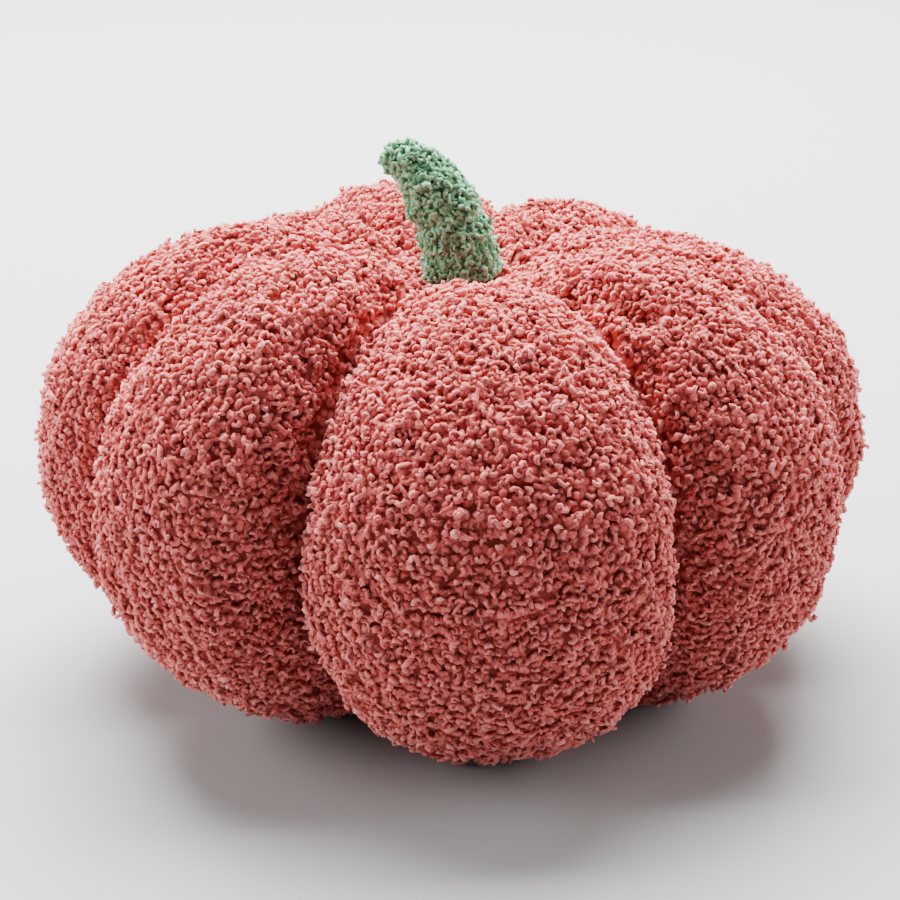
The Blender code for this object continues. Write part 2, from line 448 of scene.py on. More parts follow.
    def lobe_strip(self, index: int, down: np.ndarray, columns: int) -> np.ndarray:
        """One lobe's surface, from its seam to just before the next.

        Across the lobe, from 0 to 1, the surface swells from seam to ridge as sin(pi * across)
        to the lobe's roundness, and its azimuth swings from one seam to the next as
        cos(pi * across) to the power of its flank. The columns' places are shifted by
        seam_crowding * sin(2 * pi * even) / (2 * pi).

        Args:
            index: Which lobe.
            down: The rings' places, from 0 at the top to 1 at the bottom.
            columns: How many places across the lobe.

        Returns:
            Points as rings by columns by x, y and z, about the seams' axis.
        """
        start = self.seam_angle(index, down)[:, None]
        end = self.seam_angle(index + 1, down)[:, None]
        even = np.arange(columns) / columns
        across = even + self.seam_crowding * np.sin(2.0 * math.pi * even) / (2.0 * math.pi)
        swell = np.sin(math.pi * across) ** self.lobe_roundness
        cosine = np.cos(math.pi * across)
        swing = np.sign(cosine) * np.abs(cosine) ** self.lobe_flank
        angle = (start + end) / 2.0 - (end - start) / 2.0 * swing
        ridge_radius, ridge_height = self.ridge(down, LOBES[index])
        seam_radius, seam_height, outward_radius, outward_height = self.seam(down)
        radius = seam_radius[:, None] + (ridge_radius - seam_radius)[:, None] * swell
        height = seam_height[:, None] + (ridge_height - seam_height)[:, None] * swell
        sunk = self.pucker_depth(radius * np.sin(angle), -radius * np.cos(angle))
        sunk = np.where(down[:, None] < 0.5, sunk, 0.0)
        radius = radius - outward_radius[:, None] * sunk
        height = height - outward_height[:, None] * sunk
        return np.stack([radius * np.sin(angle), -radius * np.cos(angle), height], axis=-1)

    def rings(self, rows: int, columns: int) -> np.ndarray:
        """The whole form as rings, about the seams' axis, before it is stood on its floor.

        Args:
            rows: How many rings, the two round the hubs included.
            columns: How many places across each lobe.

        Returns:
            Points as rings by places by x, y and z.
        """
        first = self.down_of_radius(self.seat_radius * FIRST_RING_SHARE)
        last = 1.0 - self.down_of_radius(self.bottom_hub_radius * LAST_RING_SHARE)
        down = np.linspace(first, last, rows - 2)
        strips = [self.lobe_strip(index, down, columns) for index in range(len(LOBES))]
        body = np.concatenate(strips, axis=1)
        seat = self.ridge(np.array([self.down_of_radius(self.seat_radius)]), LOBES[0])[1][0]
        top = self.hub_ring(body[0], self.seat_radius, float(seat))
        bottom = self.hub_ring(body[-1], self.bottom_hub_radius, float(body[-1, :, 2].max()))
        return np.concatenate([top[None], body, bottom[None]])

    def hub_ring(self, near: np.ndarray, radius: float, height: float) -> np.ndarray:
        """A level circle at the azimuths of the ring beside it.

        Args:
            near: The ring beside it.
            radius: The circle's radius.
            height: The circle's height.

        Returns:
            The circle's points.
        """
        angle = np.arctan2(near[:, 0], -near[:, 1])
        level = np.full_like(angle, height)
        return np.stack([radius * np.sin(angle), -radius * np.cos(angle), level], axis=-1)


@dataclass(frozen=True)
class Stop:
    """A colour and its place from 0 to 1 along a ramp."""

    place: float
    colour: Colour


class ClothNodes:
    """The nodes of one cloth material, worked out on the piece's own Object coordinates."""

    def __init__(self, name: str) -> None:
        """Start the material.

        Args:
            name: The material's name.
        """
        self.material = bpy.data.materials.new(name)
        self.material.use_nodes = True
        self.nodes = self.material.node_tree.nodes
        self.links = self.material.node_tree.links
        self.shader = self.nodes["Principled BSDF"]
        self.place = self.nodes.new("ShaderNodeTexCoord").outputs["Object"]

    def noise(self, size: float, detail: float) -> bpy.types.NodeSocket:
        """Add soft noise.

        Args:
            size: The size of its patches in metres.
            detail: How many finer layers it has.

        Returns:
            The noise's value.
        """
        node = self.nodes.new("ShaderNodeTexNoise")
        node.inputs["Scale"].default_value = 1.0 / size
        node.inputs["Detail"].default_value = detail
        self.links.new(self.place, node.inputs["Vector"])
        return node.outputs["Fac"]

    def knots(self, size: float) -> bpy.types.NodeSocket:
        """Add cells of one size.

        Args:
            size: The cells' size in metres.

        Returns:
            The distance from the nearest cell's middle, in cells.
        """
        node = self.nodes.new("ShaderNodeTexVoronoi")
        node.inputs["Scale"].default_value = 1.0 / size
        self.links.new(self.place, node.inputs["Vector"])
        return node.outputs["Distance"]

    def attribute(self, name: str) -> bpy.types.NodeSocket:
        """Read one of the mesh's own attributes.

        Args:
            name: The attribute's name.

        Returns:
            Its value.
        """
        node = self.nodes.new("ShaderNodeAttribute")
        node.attribute_name = name
        return node.outputs["Fac"]

    def added(
        self, value: bpy.types.NodeSocket, share: float, base: bpy.types.NodeSocket
    ) -> bpy.types.NodeSocket:
        """Add a share of one value to another.

        Args:
            value: The value that is added.
            share: What it is multiplied by.
            base: The value that it is added to.

        Returns:
            The sum.
        """
        node = self.nodes.new("ShaderNodeMath")
        node.operation = "MULTIPLY_ADD"
        self.links.new(value, node.inputs[0])
        node.inputs[1].default_value = share
        self.links.new(base, node.inputs[2])
        return node.outputs["Value"]

    def ranged(self, value: bpy.types.NodeSocket, low: float, high: float) -> bpy.types.NodeSocket:
        """Stretch a value so that it runs from 0 at low to 1 at high.

        Args:
            value: The value.
            low: What becomes 0.
            high: What becomes 1.

        Returns:
            The stretched value, kept within 0 and 1.
        """
        node = self.nodes.new("ShaderNodeMapRange")
        self.links.new(value, node.inputs["Value"])
        node.inputs["From Min"].default_value = low
        node.inputs["From Max"].default_value = high
        return node.outputs["Result"]

    def ramp(self, factor: bpy.types.NodeSocket, stops: tuple[Stop, ...]) -> bpy.types.NodeSocket:
        """Turn a value into a colour.

        Args:
            factor: The value.
            stops: The ramp's colours, in the order of their places.

        Returns:
            The colour.
        """
        node = self.nodes.new("ShaderNodeValToRGB")
        elements = node.color_ramp.elements
        for element, stop in zip((elements[0], elements[1]), (stops[0], stops[-1])):
            element.position, element.color = stop.place, (*stop.colour, 1.0)
        for stop in stops[1:-1]:
            elements.new(stop.place).color = (*stop.colour, 1.0)
        self.links.new(factor, node.inputs["Fac"])
        return node.outputs["Color"]

    def relieve(self, height: bpy.types.NodeSocket, distance: float) -> None:
        """Raise the surface's shading by a value.

        Args:
            height: The value.
            distance: How far a value of 1 stands out, in metres.
        """
        node = self.nodes.new("ShaderNodeBump")
        node.inputs["Distance"].default_value = distance
        self.links.new(height, node.inputs["Height"])
        self.links.new(node.outputs["Normal"], self.shader.inputs["Normal"])


@dataclass(frozen=True)
class YarnFinish:
    """A pile yarn's colours, as linear RGB, some of them painted shade, and how it takes the light."""

    name: str
    # Painted shade: the dark colour round each knot of the ground cloth.
    pit_shade: Colour
    ground: Colour
    # Painted shade: the root colour darkens the pile low down, between the curls.
    root: Colour
    middle: Colour
    tip: Colour
    haze: Colour
    roughness: float = 0.85
    sheen: float = 0.40
    sheen_roughness: float = 0.32
    shine: float = 0.35
    fibre_size: float = 0.00055
    fibre_relief: float = 0.00030
    fleck_size: float = 0.0006
    fleck_strength: float = 0.80
    patch_size: float = 0.035
    patch_strength: float = 0.22
    tone_strength: float = 0.20
    tip_height: float = 1.30
    knot_size: float = 0.0034
    knot_relief: float = 0.0016

    def pile_material(self) -> bpy.types.Material:
        """Make the curls' material.

        The colour runs from the root's to the tip's with each point's height in the pile, so the pile is
        darker low down as painted shade between the curls. It is shifted for each curl by its own tone,
        patched softly over the whole piece and flecked at the size of a few fibres, and fine noise gives
        the fibres their relief.

        Returns:
            The material.
        """
        cloth = ClothNodes(self.name + "_pile")
        # Painted shade: points low in the pile take the darker root colour, as shade falls deep between
        # the curls.
        value = cloth.added(cloth.attribute("tone"), self.tone_strength, cloth.attribute("pile_height"))
        value = cloth.added(cloth.noise(self.patch_size, detail=2.0), self.patch_strength, value)
        value = cloth.added(cloth.noise(self.fleck_size, detail=1.0), self.fleck_strength, value)
        shift = (self.patch_strength + self.fleck_strength) / 2.0
        value = cloth.ranged(value, shift, shift + self.tip_height)
        stops = (Stop(0.0, self.root), Stop(0.55, self.middle), Stop(1.0, self.tip))
        cloth.links.new(cloth.ramp(value, stops), cloth.shader.inputs["Base Color"])
        cloth.relieve(cloth.noise(self.fibre_size, detail=2.0), self.fibre_relief)
        return self.dressed(cloth)

    def ground_material(self) -> bpy.types.Material:
        """Make the material of the cloth that the curls stand on.

        It paints small knots of the yarn's own size. A darker dimple in each and a dark pit round each
        are painted shade, and the lighter ring between them is the yarn's middle tone.

        Returns:
            The material.
        """
        cloth = ClothNodes(self.name + "_ground")
        # Painted shade: the darker tone in each dimple and the dark colour round each knot stand for the
        # shade between the yarn's knots.
        stops = (
            Stop(0.0, self.ground),
            Stop(0.20, self.middle),
            Stop(0.32, self.middle),
            Stop(0.50, self.ground),
            Stop(0.62, self.pit_shade),
        )
        colour = cloth.ramp(cloth.knots(self.knot_size), stops)
        cloth.links.new(colour, cloth.shader.inputs["Base Color"])
        cloth.relieve(colour, self.knot_relief)
        return self.dressed(cloth)

    def dressed(self, cloth: ClothNodes) -> bpy.types.Material:
        """Set the shader's own even values.

        Args:
            cloth: The material's nodes.

        Returns:
            The material.
        """
        inputs = cloth.shader.inputs
        inputs["Roughness"].default_value = self.roughness
        inputs["Specular IOR Level"].default_value = self.shine
        inputs["Sheen Weight"].default_value = self.sheen
        inputs["Sheen Roughness"].default_value = self.sheen_roughness
        inputs["Sheen Tint"].default_value = (*self.haze, 1.0)
        return cloth.material


@dataclass(frozen=True)
class EvenSpread:
    """Places set evenly over a surface: rows down it, and even steps along each row."""

    count: int
    seed: int
    row_share: float = 0.87
    jitter: float = 0.36
    edge: float = 0.001

    def places(self, surface: SurfaceGrid, weights: np.ndarray) -> tuple[np.ndarray, np.ndarray]:
        """Spread the places.

        The pitch along a row is the square root of the weighted area for each place over
        row_share, and the rows stand row_share of that pitch apart. Along a row the places are
        even steps of its weighted length, each shaken by a share of a step.

        Args:
            surface: The surface.
            weights: How densely each cell is covered, 1 being full.

        Returns:
            Places across and round the rings, in steps of the grid.
        """
        random = np.random.default_rng(self.seed)
        points = surface.points
        pitch = math.sqrt((surface.cell_areas() * weights).sum() / (self.count * self.row_share))
        drops = np.linalg.norm(np.diff(points, axis=0), axis=-1).mean(axis=1)
        depth = np.concatenate([[0.0], np.cumsum(drops)])
        number = int(round(depth[-1] / (pitch * self.row_share)))
        rows = np.interp((np.arange(number) + 0.5) * depth[-1] / number, depth, np.arange(len(depth)))
        gaps = np.gradient(rows)
        ring_parts, side_parts = [], []
        for row, gap in zip(rows, gaps):
            low = int(row)
            line = points[low] + (points[low + 1] - points[low]) * (row - low)
            steps = np.linalg.norm(np.roll(line, -1, axis=0) - line, axis=-1) * weights[low]
            along = np.concatenate([[0.0], np.cumsum(steps)])
            count = max(int(round(along[-1] / pitch)), 1)
            start = random.uniform()
            shaken = np.arange(count) + start + random.uniform(-self.jitter, self.jitter, count)
            side_parts.append(np.interp((shaken / count % 1.0) * along[-1], along, np.arange(len(along))))
            ring_parts.append(row + gap * random.uniform(-self.jitter, self.jitter, count))
        rings = np.clip(np.concatenate(ring_parts), 0.0, len(depth) - 1 - self.edge)
        return rings, np.concatenate(side_parts) % points.shape[1]


@dataclass(frozen=True)
class Stand:
    """Where pieces of yarn stand on a surface, and the surface's directions there."""

    root: np.ndarray
    normal: np.ndarray
    across: np.ndarray

    @classmethod
    def on(cls, surface: SurfaceGrid, ring: np.ndarray, side: np.ndarray) -> "Stand":
        """Read the places and directions from a surface.

        Args:
            surface: The surface.
            ring: Places across the rings, in steps of the grid.
            side: Places round the rings.

        Returns:
            The stand.
        """
        around, outwards = surface.directions()[1:]
        normal = unit(surface.sample(outwards, ring, side))
        across = surface.sample(around, ring, side)
        across = unit(across - normal * (across * normal).sum(-1, keepdims=True))
        return cls(surface.sample(surface.points, ring, side), normal, across)

    def leaning(
        self, random: np.random.Generator, lean_deg: float
    ) -> tuple[np.ndarray, np.ndarray, np.ndarray]:
        """Choose a leaning plane for each piece, turned at random within itself.

        Args:
            random: The pile's own seeded numbers.
            lean_deg: The largest lean of the plane's axis from the surface's normal.

        Returns:
            The plane's two directions and its axis.
        """
        count = len(self.root)
        swing, spin = random.uniform(0.0, 2.0 * math.pi, (2, count, 1))
        lean = np.radians(lean_deg * random.uniform(0.0, 1.0, (count, 1)))
        beyond = np.cross(self.normal, self.across)
        flat = self.across * np.cos(swing) + beyond * np.sin(swing)
        axis = self.normal * np.cos(lean) + flat * np.sin(lean)
        level = np.cross(self.normal, flat)
        first = level * np.cos(spin) + np.cross(axis, level) * np.sin(spin)
        return first, np.cross(axis, first), axis

    def above(self, points: np.ndarray) -> np.ndarray:
        """Height of each piece's points over its own place.

        Args:
            points: Pieces by points by x, y and z.

        Returns:
            Metres, pieces by points.
        """
        return ((points - self.root[:, None]) * self.normal[:, None]).sum(-1)


@dataclass(frozen=True)
class Yarn:
    """Many like closed pieces of yarn: their points, one piece's faces, and each one's tone."""

    points: np.ndarray
    quads: np.ndarray
    triangles: np.ndarray
    height: np.ndarray
    tone: np.ndarray

    def faces(self, faces: np.ndarray, first: int) -> np.ndarray:
        """Number the faces of all the pieces.

        Args:
            faces: One piece's faces.
            first: The number of the first piece's first point.

        Returns:
            All the faces, one row each.
        """
        count, size = self.points.shape[:2]
        offset = first + (np.arange(count) * size)[:, None, None]
        return (faces[None] + offset).reshape(-1, faces.shape[1])


@dataclass(frozen=True)
class CurlMaker:
    """Curls of yarn: closed tubes bent along their own paths, of the kinds in CURL_SHAPES."""

    yarn_radius: float = 0.00112
    radius_spread: float = 0.25
    loop_low: float = 0.00105
    loop_high: float = 0.00155
    pitch: float = 0.0022
    height_low: float = 0.0009
    height_high: float = 0.0021
    clump_height: float = 0.00045
    clump_size: float = 0.0070
    clump_seed: int = 5
    lean_deg: float = 65.0
    rings: int = 5
    sides: int = 3
    tip_share: float = 0.10
    taper: float = 0.30
    fine_steps: int = 48
    waver: float = 0.35
    ess_turning: float = 4.4
    ess_power: float = 1.5
    ess_length: float = 3.1

    def stations(self) -> np.ndarray:
        """Shares of a curl's length at which its two points and its rings stand."""
        inner = np.linspace(self.tip_share, 1.0 - self.tip_share, self.rings)
        return np.concatenate([[0.0], inner, [1.0]])

    def paths(self, random: np.random.Generator, count: int) -> tuple[np.ndarray, np.ndarray]:
        """Work out every curl's path in its own flat plane.

        A path's heading turns evenly for a C or a ring. For an S it turns one way and back, as
        ess_turning * |even - 0.5| to the power of ess_power. A little waver is added. The path
        is the running sum of its headings, centred on its own middle.

        Args:
            random: The pile's own seeded numbers.
            count: How many curls there are.

        Returns:
            The places along each curl as curls by stations by two coordinates, and the headings.
        """
        even = np.broadcast_to(np.linspace(0.0, 1.0, self.fine_steps), (count, self.fine_steps))
        picks = random.choice(len(CURL_SHAPES), count, p=[shape.share for shape in CURL_SHAPES])
        turns = np.radians([(shape.turn_low_deg, shape.turn_high_deg) for shape in CURL_SHAPES])
        low, high = turns[picks].T
        turn = (low + (high - low) * random.uniform(0.0, 1.0, count))[:, None]
        turns_back = np.array([shape.kind is CurlKind.ESS for shape in CURL_SHAPES])
        there_and_back = turns_back[picks][:, None]
        ess = self.ess_turning * np.abs(even - 0.5) ** self.ess_power
        turning = np.where(there_and_back, ess, even)
        waver = random.uniform(-self.waver, self.waver, (count, 1))
        shift = random.uniform(0.0, 2.0 * math.pi, (count, 1))
        heading = turn * turning + waver * np.sin(2.0 * math.pi * even + shift)
        loop = random.uniform(self.loop_low, self.loop_high, (count, 1))
        length = loop * turn * np.where(there_and_back, self.ess_length, 1.0)
        directions = np.stack([np.cos(heading), np.sin(heading)], axis=-1)
        step = directions * (length / self.fine_steps)[..., None]
        spine = np.cumsum(step, axis=1)
        spine = spine - spine.mean(axis=1, keepdims=True)
        picked = np.round(self.stations() * (self.fine_steps - 1)).astype(int)
        return spine[:, picked], heading[:, picked]

    def make(self, stand: Stand, seed: int) -> Yarn:
        """Make a curl on every place.

        Each curl's plane leans at random from the surface. Round its path a ring of a few
        places is carried as a tube that closes to a point at both ends. Its radius is the
        yarn's, spread for each curl, times 1 - taper * (2 * t - 1) squared.

        Args:
            stand: Where the curls stand.
            seed: The pile's seed.

        Returns:
            The curls.
        """
        random = np.random.default_rng(seed)
        count = len(stand.root)
        first, second, axis = stand.leaning(random, self.lean_deg)
        height = random.uniform(self.height_low, self.height_high, count)
        clumps = SoftNoise(self.clump_size, self.clump_seed).at(stand.root)
        height = height + self.clump_height * clumps
        centre = stand.root + stand.normal * height[:, None]
        spine, heading = self.paths(random, count)
        t = self.stations()
        rise = self.pitch * random.uniform(-1.0, 1.0, (count, 1)) * (t - 0.5)
        line = (
            centre[:, None]
            + spine[..., :1] * first[:, None]
            + spine[..., 1:] * second[:, None]
            + rise[..., None] * axis[:, None]
        )
        sine, cosine = np.sin(heading)[..., None], np.cos(heading)[..., None]
        inwards = -sine * first[:, None] + cosine * second[:, None]
        spread = random.uniform(1.0 - self.radius_spread, 1.0 + self.radius_spread, (count, 1))
        thick = self.yarn_radius * spread
        thick = (thick * (1.0 - self.taper * np.abs(2.0 * t[1:-1] - 1.0) ** 2))[:, :, None, None]
        turn = (2.0 * math.pi * np.arange(self.sides) / self.sides)[:, None]
        tube = line[:, 1:-1, None] + thick * (
            np.cos(turn) * inwards[:, 1:-1, None] + np.sin(turn) * axis[:, None, None]
        )
        points = np.concatenate([line[:, :1], tube.reshape(count, -1, 3), line[:, -1:]], axis=1)
        tone = np.broadcast_to(random.normal(0.0, TONE_SPREAD, (count, 1)), points.shape[:2])
        return Yarn(points, *self.curl_faces(), stand.above(points), tone)

    def curl_faces(self) -> tuple[np.ndarray, np.ndarray]:
        """Number one curl's faces: walls between its rings, and a fan at each end.

        Returns:
            The four-sided and the three-sided faces, facing outwards.
        """
        ring, side = np.meshgrid(np.arange(self.rings - 1), np.arange(self.sides), indexing="ij")
        here = (1 + ring * self.sides + side).ravel()
        beside = (1 + ring * self.sides + (side + 1) % self.sides).ravel()
        quads = np.stack([here, beside, beside + self.sides, here + self.sides], axis=-1)
        first = 1 + np.arange(self.sides)
        last = first + (self.rings - 1) * self.sides
        start = np.stack([np.zeros_like(first), np.roll(first, -1), first], axis=-1)
        end_point = np.full_like(last, self.rings * self.sides + 1)
        end = np.stack([end_point, last, np.roll(last, -1)], axis=-1)
        return quads, np.concatenate([start, end])


@dataclass(frozen=True)
class LumpMaker:
    """Lumps of yarn low in the pile: squashed beads with an uneven waist."""

    radius_low: float = 0.0015
    radius_high: float = 0.0021
    thickness: float = 0.62
    height_low: float = 0.0002
    height_high: float = 0.0010
    unevenness: float = 0.22
    lean_deg: float = 35.0
    sides: int = 6

    def make(self, stand: Stand, seed: int) -> Yarn:
        """Make a lump on every place.

        A lump is a ring of a few places at uneven distances from its middle, closed by a pole on
        each side, its radius times thickness away.

        Args:
            stand: Where the lumps stand.
            seed: The pile's seed.

        Returns:
            The lumps.
        """
        random = np.random.default_rng(seed)
        count = len(stand.root)
        first, second, axis = (part[:, None] for part in stand.leaning(random, self.lean_deg))
        height = random.uniform(self.height_low, self.height_high, (count, 1))
        centre = (stand.root + stand.normal * height)[:, None]
        radius = random.uniform(self.radius_low, self.radius_high, (count, 1, 1))
        turn = (2.0 * math.pi * np.arange(self.sides) / self.sides)[:, None]
        uneven = self.unevenness
        reach = radius * random.uniform(1.0 - uneven, 1.0 + uneven, (count, self.sides, 1))
        offset = radius * random.uniform(-uneven, uneven, (count, self.sides, 1))
        waist = centre + reach * (np.cos(turn) * first + np.sin(turn) * second) + offset * axis
        pole = axis * radius * self.thickness
        points = np.concatenate([waist, centre + pole, centre - pole], axis=1)
        here = np.arange(self.sides)
        beside = np.roll(here, -1)
        upper = np.stack([here, beside, np.full_like(here, self.sides)], axis=-1)
        lower = np.stack([beside, here, np.full_like(here, self.sides + 1)], axis=-1)
        tone = np.broadcast_to(random.normal(0.0, TONE_SPREAD, (count, 1)), points.shape[:2])
        triangles = np.concatenate([upper, lower])
        return Yarn(points, np.zeros((0, 4), dtype=int), triangles, stand.above(points), tone)


@dataclass(frozen=True)
class Pile:
    """One piece of pile: curls over lumps, joined in one mesh."""

    name: str
    slot: Slot
    depth: float
    floor: float = 0.0003

    def build(self, parts: tuple[Yarn, ...], material: bpy.types.Material) -> bpy.types.Object:
        """Join the yarn into one piece.

        Args:
            parts: The curls and the lumps.
            material: The yarn's material.

        Returns:
            The piece.
        """
        sizes = [part.points.shape[0] * part.points.shape[1] for part in parts]
        firsts = np.concatenate([[0], np.cumsum(sizes)[:-1]]).astype(int)
        points = np.concatenate([part.points.reshape(-1, 3) for part in parts])
        points[:, 2] = np.maximum(points[:, 2], self.floor)
        numbered = tuple(zip(parts, firsts))
        quads = np.concatenate([part.faces(part.quads, first) for part, first in numbered])
        triangles = np.concatenate([part.faces(part.triangles, first) for part, first in numbered])
        item = mesh_object(self.name, points, quads, triangles)
        height = np.concatenate([part.height.ravel() for part in parts]) / self.depth
        tone = np.concatenate([part.tone.ravel() for part in parts])
        for label, values in (("pile_height", height), ("tone", tone)):
            attribute = item.data.attributes.new(label, "FLOAT", "POINT")
            attribute.data.foreach_set("value", values.astype(np.float32))
        item.data.materials.append(material)
        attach(item, RIGID_BODY)
        log.info("%s: %d faces", self.name, len(item.data.polygons))
        return item


@dataclass(frozen=True)
class Settling:
    """The cloth simulation that settles a cover over its filling, and what is kept of it.

    Only the wrinkles are kept. They are the movement outwards less its own smooth part, capped
    at wrinkle_cap metres and scaled by wrinkle_share, so the cushion keeps its outline.
    """

    frames: int = 20
    quality: int = 6
    point_mass: float = 0.25
    stiffness: float = 12.0
    shear: float = 5.0
    bending: float = 0.35
    shrink: float = -0.045
    pressure: float = 4.0
    wrinkle_cap: float = 0.006
    wrinkle_share: float = 0.8
    smoothing_passes: int = 60
    held_rings: int = 2

    def held_points(self, rings: int, sides: int, seam_places: np.ndarray) -> np.ndarray:
        """Number the points that are sewn down: the seams, the hubs and their middles.

        Args:
            rings: How many rings the cover has.
            sides: How many places each ring has.
            seam_places: The places on a ring where a seam runs.

        Returns:
            The points' numbers, each once.
        """
        seams = ((np.arange(rings) * sides)[:, None] + seam_places).ravel()
        top = np.arange(self.held_rings * sides)
        bottom = np.arange((rings - self.held_rings) * sides, rings * sides + 2)
        return np.unique(np.concatenate([seams, top, bottom]))

    def simulate(self, item: bpy.types.Object, sewn: np.ndarray) -> np.ndarray:
        """Run Blender's cloth simulation on a piece, and leave the piece as it was.

        The sewn points are held, the filling presses outwards without gravity, and the cloth is
        cut a little full, so it wrinkles beside the seams.

        Args:
            item: The piece.
            sewn: The numbers of its points that are held.

        Returns:
            The piece's points at the last frame, one row each.
        """
        held = item.vertex_groups.new(name="sewn")
        held.add(sewn.tolist(), 1.0, "REPLACE")
        cloth = item.modifiers.new("filling", "CLOTH")
        settings = cloth.settings
        settings.quality = self.quality
        settings.mass = self.point_mass
        settings.tension_stiffness = settings.compression_stiffness = self.stiffness
        settings.shear_stiffness = self.shear
        settings.bending_stiffness = self.bending
        settings.shrink_min = self.shrink
        settings.use_pressure = True
        settings.uniform_pressure_force = self.pressure
        settings.effector_weights.gravity = 0.0
        settings.vertex_group_mass = held.name
        cloth.collision_settings.use_collision = False
        scene = bpy.context.scene
        scene.frame_start, scene.frame_end = 1, self.frames
        cloth.point_cache.frame_start, cloth.point_cache.frame_end = 1, self.frames
        for number in range(1, self.frames + 1):
            scene.frame_set(number)
        evaluated = item.evaluated_get(bpy.context.evaluated_depsgraph_get())
        settled = np.empty(len(evaluated.data.vertices) * 3, dtype=np.float32)
        evaluated.data.vertices.foreach_get("co", settled)
        item.modifiers.remove(cloth)
        item.vertex_groups.remove(held)
        scene.frame_set(1)
        return settled.reshape(-1, 3)

    def wrinkled(self, start: np.ndarray, settled: np.ndarray) -> np.ndarray:
        """Put the simulation's wrinkles on the cover it started from.

        Args:
            start: The cover's points as rings by places by x, y and z.
            settled: The simulated points, one row each, the rings' own first.

        Returns:
            The wrinkled points, as start.
        """
        rings, sides = start.shape[:2]
        move = settled[: rings * sides].reshape(start.shape) - start
        outwards = SurfaceGrid(start).directions()[2]
        along = (move * outwards).sum(-1)
        wrinkle = np.clip(along - self.smoothed(along), -self.wrinkle_cap, self.wrinkle_cap)
        millimetres = (along.max() * 1e3, np.abs(wrinkle).max() * 1e3)
        log.info("settled: swelling up to %.1f mm, wrinkles up to %.1f mm", *millimetres)
        return start + outwards * (wrinkle * self.wrinkle_share)[..., None]

    def smoothed(self, values: np.ndarray) -> np.ndarray:
        """Average values with their neighbours on the grid, many times.

        Each time a value becomes half of itself and an eighth of each of its four neighbours.

        Args:
            values: One value for each point of the grid.

        Returns:
            The smooth part of the values.
        """
        result = values.copy()
        for _ in range(self.smoothing_passes):
            padded = np.pad(result, ((1, 1), (0, 0)), mode="edge")
            around = np.roll(result, 1, axis=1) + np.roll(result, -1, axis=1)
            result = 0.5 * result + 0.125 * (padded[:-2] + padded[2:] + around)
        return result


